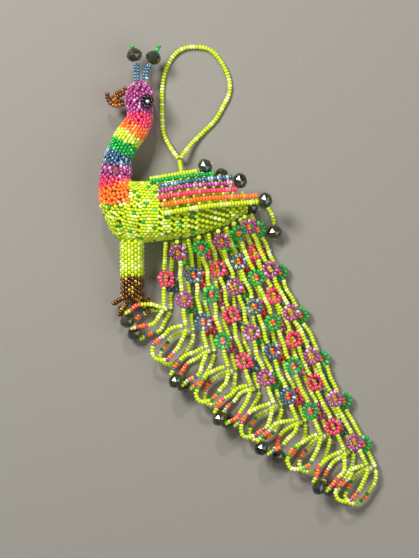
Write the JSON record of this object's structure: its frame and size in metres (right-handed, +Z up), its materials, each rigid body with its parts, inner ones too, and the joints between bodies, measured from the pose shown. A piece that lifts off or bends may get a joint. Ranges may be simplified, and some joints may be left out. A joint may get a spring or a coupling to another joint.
{
  "type": "beaded bird ornament",
  "caption": "Beaded peacock ornament lying on its side, with a hanging loop, folding wings, cut crystals and two flowered tail curtains.",
  "frame": {"origin": "under the middle of the ornament, on the surface that it lies on", "axes": "+X from breast to tail, +Y from the feet towards the crest and the loop, +Z up from the surface"},
  "size_m": [0.1076, 0.1786, 0.0218],
  "materials": {
    "lime_beads": "opaque glossy seed beads",
    "green_beads": "lined seed beads",
    "blue_beads": "lustred seed beads",
    "purple_beads": "lustred seed beads",
    "pink_beads": "opaque glossy seed beads",
    "orange_beads": "opaque glossy seed beads",
    "amber_beads": "silver lined seed beads",
    "black_beads": "opaque glossy seed beads",
    "silver_beads": "metallic bead",
    "flower_beads": "seed beads in pink, purple, blue and green",
    "cut_crystal": "faceted, smoky, metallic coated",
    "fibre_filling": "loose fibre"
  },
  "bodies": {
    "bird": {"head_skin": "purple_beads", "neck_pink": "pink_beads", "neck_orange": "orange_beads", "neck_lime": "lime_beads", "neck_green": "green_beads", "neck_blue": "blue_beads", "neck_purple": "purple_beads", "neck_rose": "pink_beads", "chest_orange": "orange_beads", "torso_skin": "lime_beads", "stuffing": "fibre_filling", "eye_rings": "black_beads", "eye_pupils": "silver_beads", "beak_upper": "amber_beads", "beak_lower": "amber_beads", "near_leg_skin": "lime_beads", "near_shank": "amber_beads", "near_toes": "amber_beads", "far_leg_skin": "lime_beads", "far_shank": "amber_beads", "far_toes": "amber_beads", "loop_stem": "lime_beads"},
    "loop": {"hanging_loop": "lime_beads"},
    "left_crest": {"left_crest_stalk": "blue_beads"},
    "right_crest": {"right_crest_stalk": "blue_beads"},
    "near_wing": {"near_wing_row_1": "lime_beads", "near_wing_row_2": "green_beads", "near_wing_row_3": "blue_beads", "near_wing_row_4": "purple_beads", "near_wing_row_5": "pink_beads", "near_wing_row_6": "orange_beads", "near_wing_row_7": "lime_beads"},
    "far_wing": {"far_wing_rows": "lime_beads"},
    "front_curtain": {"front_strands": "lime_beads", "front_flower_rings": "flower_beads", "front_flower_centres": "orange_beads", "front_end_loops": "lime_beads"},
    "back_curtain": {"back_strands": "lime_beads", "back_flower_rings": "flower_beads", "back_flower_centres": "orange_beads", "back_end_loops": "lime_beads"},
    "left_crest_crystal": {"left_crest_crystal": "cut_crystal"},
    "right_crest_crystal": {"right_crest_crystal": "cut_crystal"},
    "near_wing_crystal_1": {"near_wing_crystal_1": "cut_crystal"},
    "near_wing_crystal_2": {"near_wing_crystal_2": "cut_crystal"},
    "near_wing_crystal_3": {"near_wing_crystal_3": "cut_crystal"},
    "far_wing_crystal_1": {"far_wing_crystal_1": "cut_crystal"},
    "far_wing_crystal_2": {"far_wing_crystal_2": "cut_crystal"},
    "far_wing_crystal_3": {"far_wing_crystal_3": "cut_crystal"},
    "front_crystal_1": {"front_crystal_1": "cut_crystal"},
    "front_crystal_2": {"front_crystal_2": "cut_crystal"},
    "front_crystal_3": {"front_crystal_3": "cut_crystal"},
    "front_crystal_4": {"front_crystal_4": "cut_crystal"},
    "front_crystal_5": {"front_crystal_5": "cut_crystal"},
    "back_crystal_1": {"back_crystal_1": "cut_crystal"},
    "back_crystal_2": {"back_crystal_2": "cut_crystal"},
    "back_crystal_3": {"back_crystal_3": "cut_crystal"},
    "back_crystal_4": {"back_crystal_4": "cut_crystal"},
    "back_crystal_5": {"back_crystal_5": "cut_crystal"}
  },
  "joints": [
    {"name": "loop_swing", "type": "hinge", "parent": "bird", "child": "loop", "pos_m": [-0.023, 0.0446, 0.0044], "axis": [0, 0, 1], "range_deg": [-40, 0]},
    {"name": "left_crest_bend", "type": "hinge", "parent": "bird", "child": "left_crest", "pos_m": [-0.0394, 0.0745, 0.0081], "axis": [1, 0, 0], "range_deg": [-20, 20], "stiffness_Nm_per_rad": 0.002},
    {"name": "right_crest_bend", "type": "hinge", "parent": "bird", "child": "right_crest", "pos_m": [-0.0361, 0.0745, 0.0081], "axis": [1, 0, 0], "range_deg": [-20, 20], "stiffness_Nm_per_rad": 0.002},
    {"name": "near_wing_lift", "type": "hinge", "parent": "bird", "child": "near_wing", "pos_m": [-0.0354, 0.029, 0.0225], "axis": [0, -1, 0], "range_deg": [0, 60]},
    {"name": "far_wing_lift", "type": "hinge", "parent": "bird", "child": "far_wing", "pos_m": [-0.034, 0.028, 0.0005], "axis": [0, 1, 0], "range_deg": [0, 60]},
    {"name": "front_curtain_lift", "type": "hinge", "parent": "bird", "child": "front_curtain", "pos_m": [-0.0134, 0.0165, 0.0175], "axis": [-0.9488, -0.3159, 0], "range_deg": [0, 70]},
    {"name": "back_curtain_lift", "type": "hinge", "parent": "bird", "child": "back_curtain", "pos_m": [-0.0134, 0.0165, 0.0035], "axis": [0.9488, 0.3159, 0], "range_deg": [0, 70]},
    {"name": "left_crest_crystal_spin", "type": "hinge", "parent": "left_crest", "child": "left_crest_crystal", "pos_m": [-0.0404, 0.0846, 0.0081], "axis": [-0.2419, 0.9703, 0], "continuous": true},
    {"name": "right_crest_crystal_spin", "type": "hinge", "parent": "right_crest", "child": "right_crest_crystal", "pos_m": [-0.0331, 0.0836, 0.0081], "axis": [0.454, 0.891, 0], "continuous": true},
    {"name": "near_wing_crystal_1_spin", "type": "hinge", "parent": "near_wing", "child": "near_wing_crystal_1", "pos_m": [-0.01318, 0.04168, 0.01016], "axis": [0.9272, 0.3746, 0], "continuous": true},
    {"name": "near_wing_crystal_2_spin", "type": "hinge", "parent": "near_wing", "child": "near_wing_crystal_2", "pos_m": [0.0002, 0.0361, 0.0134], "axis": [0.9703, 0.2419, 0], "continuous": true},
    {"name": "near_wing_crystal_3_spin", "type": "hinge", "parent": "near_wing", "child": "near_wing_crystal_3", "pos_m": [0.0098, 0.02859, 0.0138], "axis": [0.9848, 0.1736, 0], "continuous": true},
    {"name": "far_wing_crystal_1_spin", "type": "hinge", "parent": "far_wing", "child": "far_wing_crystal_1", "pos_m": [-0.0068, 0.0384, 0.00325], "axis": [0.9703, 0.2419, 0], "continuous": true},
    {"name": "far_wing_crystal_2_spin", "type": "hinge", "parent": "far_wing", "child": "far_wing_crystal_2", "pos_m": [0.0048, 0.0262, 0.00325], "axis": [0.9397, -0.342, 0], "continuous": true},
    {"name": "far_wing_crystal_3_spin", "type": "hinge", "parent": "far_wing", "child": "far_wing_crystal_3", "pos_m": [0.0136, 0.0166, 0.00325], "axis": [0.0698, -0.9976, 0], "continuous": true},
    {"name": "front_crystal_1_spin", "type": "hinge", "parent": "front_curtain", "child": "front_crystal_1", "pos_m": [-0.04299, -0.01763, 0.00785], "axis": [0.3256, -0.9455, 0], "continuous": true},
    {"name": "front_crystal_2_spin", "type": "hinge", "parent": "front_curtain", "child": "front_crystal_2", "pos_m": [-0.02442, -0.04066, 0.0083], "axis": [0.7314, -0.682, 0], "continuous": true},
    {"name": "front_crystal_3_spin", "type": "hinge", "parent": "front_curtain", "child": "front_crystal_3", "pos_m": [-0.00765, -0.05517, 0.0083], "axis": [0.7193, -0.6947, 0], "continuous": true},
    {"name": "front_crystal_4_spin", "type": "hinge", "parent": "front_curtain", "child": "front_crystal_4", "pos_m": [0.00856, -0.06653, 0.0083], "axis": [0.6018, -0.7986, 0], "continuous": true},
    {"name": "front_crystal_5_spin", "type": "hinge", "parent": "front_curtain", "child": "front_crystal_5", "pos_m": [0.03068, -0.0816, 0.0083], "axis": [0.8191, -0.5736, 0], "continuous": true},
    {"name": "back_crystal_1_spin", "type": "hinge", "parent": "back_curtain", "child": "back_crystal_1", "pos_m": [-0.04037, -0.02246, 0.00325], "axis": [0.5592, -0.829, 0], "continuous": true},
    {"name": "back_crystal_2_spin", "type": "hinge", "parent": "back_curtain", "child": "back_crystal_2", "pos_m": [-0.02145, -0.04215, 0.00325], "axis": [0.7314, -0.682, 0], "continuous": true},
    {"name": "back_crystal_3_spin", "type": "hinge", "parent": "back_curtain", "child": "back_crystal_3", "pos_m": [-0.00446, -0.05636, 0.00325], "axis": [0.7193, -0.6947, 0], "continuous": true},
    {"name": "back_crystal_4_spin", "type": "hinge", "parent": "back_curtain", "child": "back_crystal_4", "pos_m": [0.01506, -0.07027, 0.00325], "axis": [0.788, -0.6157, 0], "continuous": true},
    {"name": "back_crystal_5_spin", "type": "hinge", "parent": "back_curtain", "child": "back_crystal_5", "pos_m": [0.03494, -0.08258, 0.00325], "axis": [0.848, -0.5299, 0], "continuous": true}
  ]
}
